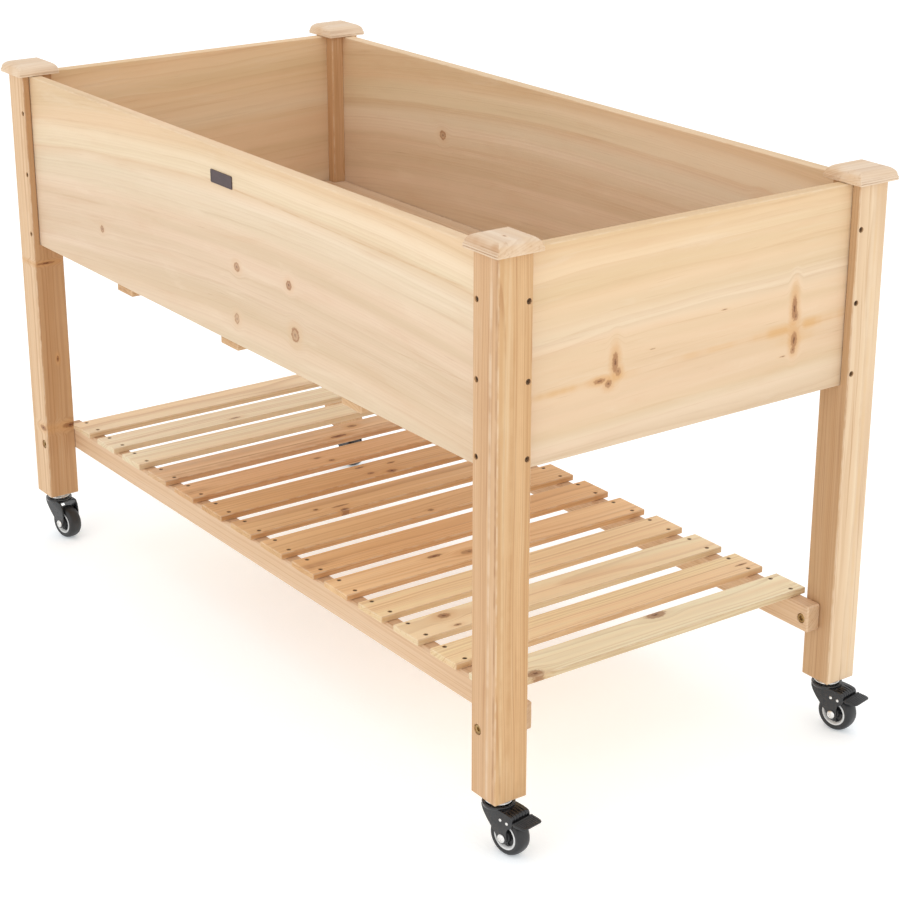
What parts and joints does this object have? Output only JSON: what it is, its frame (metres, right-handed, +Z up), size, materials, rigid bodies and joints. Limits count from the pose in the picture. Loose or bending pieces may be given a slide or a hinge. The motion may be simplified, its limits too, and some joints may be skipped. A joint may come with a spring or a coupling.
{
  "type": "raised planter on legs",
  "caption": "Rectangular wooden raised planter box on square legs with a slatted lower shelf and swivel casters, some with foot brakes.",
  "frame": {"origin": "on the floor, under the middle of the overall box, casters and pedals included", "axes": "+X along the long side toward the right end, -Y toward the front long side that carries the label plate, +Z up"},
  "size_m": [1.2431, 0.593, 0.7433],
  "materials": {
    "leg_wood": "sanded bare softwood, warm tan with streaky upright grain",
    "panel_wood": "sanded bare fir, pale cream with small knots",
    "cap_wood": "sanded bare fir, pale cream",
    "slat_wood": "sanded bare fir, warmer tan with brown knots",
    "rail_wood": "sanded bare fir, light tan with rounded edges",
    "floor_wood": "sawn bare fir",
    "label": "small blank dark brown plate",
    "black_steel": "satin black coated pressed steel",
    "plated_steel": "bright zinc plated steel",
    "tread": "black polyurethane tread",
    "rim": "light grey moulded wheel centre",
    "pedal": "satin black coated pressed steel, ridged tread"
  },
  "bodies": {
    "planter": {"leg_front_right": "leg_wood", "leg_front_left": "leg_wood", "leg_back_right": "leg_wood", "leg_back_left": "leg_wood", "cap_front_right": "cap_wood", "cap_front_left": "cap_wood", "cap_back_right": "cap_wood", "cap_back_left": "cap_wood", "panel_front": "panel_wood", "panel_back": "panel_wood", "panel_left": "panel_wood", "panel_right": "panel_wood", "label_plate": "label", "batten_left": "floor_wood", "batten_middle": "floor_wood", "batten_right": "floor_wood", "cleat_left": "floor_wood", "cleat_right": "floor_wood", "floor_board_1": "floor_wood", "floor_board_2": "floor_wood", "floor_board_3": "floor_wood", "floor_board_4": "floor_wood", "rail_front": "rail_wood", "rail_back": "rail_wood", "slat_01": "slat_wood", "slat_02": "slat_wood", "slat_03": "slat_wood", "slat_04": "slat_wood", "slat_05": "slat_wood", "slat_06": "slat_wood", "slat_07": "slat_wood", "slat_08": "slat_wood", "slat_09": "slat_wood", "slat_10": "slat_wood", "slat_11": "slat_wood", "slat_12": "slat_wood", "slat_13": "slat_wood", "slat_14": "slat_wood", "caster_front_right_head": "plated_steel", "caster_front_left_head": "plated_steel", "caster_back_right_head": "plated_steel", "caster_back_left_head": "plated_steel"},
    "caster_front_right_swivel": {"caster_front_right_fork": "black_steel", "caster_front_right_axle": "plated_steel"},
    "caster_front_right_wheel": {"caster_front_right_tyre": "tread", "caster_front_right_hub": "rim"},
    "caster_front_right_brake": {"caster_front_right_pedal": "pedal"},
    "caster_front_left_swivel": {"caster_front_left_fork": "black_steel", "caster_front_left_axle": "plated_steel"},
    "caster_front_left_wheel": {"caster_front_left_tyre": "tread", "caster_front_left_hub": "rim"},
    "caster_back_right_swivel": {"caster_back_right_fork": "black_steel", "caster_back_right_axle": "plated_steel"},
    "caster_back_right_wheel": {"caster_back_right_tyre": "tread", "caster_back_right_hub": "rim"},
    "caster_back_right_brake": {"caster_back_right_pedal": "pedal"},
    "caster_back_left_swivel": {"caster_back_left_fork": "black_steel", "caster_back_left_axle": "plated_steel"},
    "caster_back_left_wheel": {"caster_back_left_tyre": "tread", "caster_back_left_hub": "rim"}
  },
  "joints": [
    {"name": "front_right_swivel", "type": "hinge", "parent": "planter", "child": "caster_front_right_swivel", "pos_m": [0.56575, -0.26475, 0.0625], "axis": [0, 0, 1], "continuous": true},
    {"name": "front_right_roll", "type": "hinge", "parent": "caster_front_right_swivel", "child": "caster_front_right_wheel", "pos_m": [0.58446, -0.26145, 0.025], "axis": [-0.1736, 0.9848, 0], "continuous": true},
    {"name": "front_right_brake", "type": "hinge", "parent": "caster_front_right_swivel", "child": "caster_front_right_brake", "pos_m": [0.59135, -0.26023, 0.0525], "axis": [-0.1736, 0.9848, 0], "range_deg": [0, 15]},
    {"name": "front_left_swivel", "type": "hinge", "parent": "planter", "child": "caster_front_left_swivel", "pos_m": [-0.58775, -0.26475, 0.0625], "axis": [0, 0, 1], "continuous": true},
    {"name": "front_left_roll", "type": "hinge", "parent": "caster_front_left_swivel", "child": "caster_front_left_wheel", "pos_m": [-0.56904, -0.26145, 0.025], "axis": [-0.1736, 0.9848, 0], "continuous": true},
    {"name": "back_right_swivel", "type": "hinge", "parent": "planter", "child": "caster_back_right_swivel", "pos_m": [0.56575, 0.26475, 0.0625], "axis": [0, 0, 1], "continuous": true},
    {"name": "back_right_roll", "type": "hinge", "parent": "caster_back_right_swivel", "child": "caster_back_right_wheel", "pos_m": [0.58434, 0.2687, 0.025], "axis": [-0.2079, 0.9781, 0], "continuous": true},
    {"name": "back_right_brake", "type": "hinge", "parent": "caster_back_right_swivel", "child": "caster_back_right_brake", "pos_m": [0.59118, 0.27016, 0.0525], "axis": [-0.2079, 0.9781, 0], "range_deg": [0, 15]},
    {"name": "back_left_swivel", "type": "hinge", "parent": "planter", "child": "caster_back_left_swivel", "pos_m": [-0.58775, 0.26475, 0.0625], "axis": [0, 0, 1], "continuous": true},
    {"name": "back_left_roll", "type": "hinge", "parent": "caster_back_left_swivel", "child": "caster_back_left_wheel", "pos_m": [-0.56893, 0.26739, 0.025], "axis": [-0.1392, 0.9903, 0], "continuous": true}
  ]
}
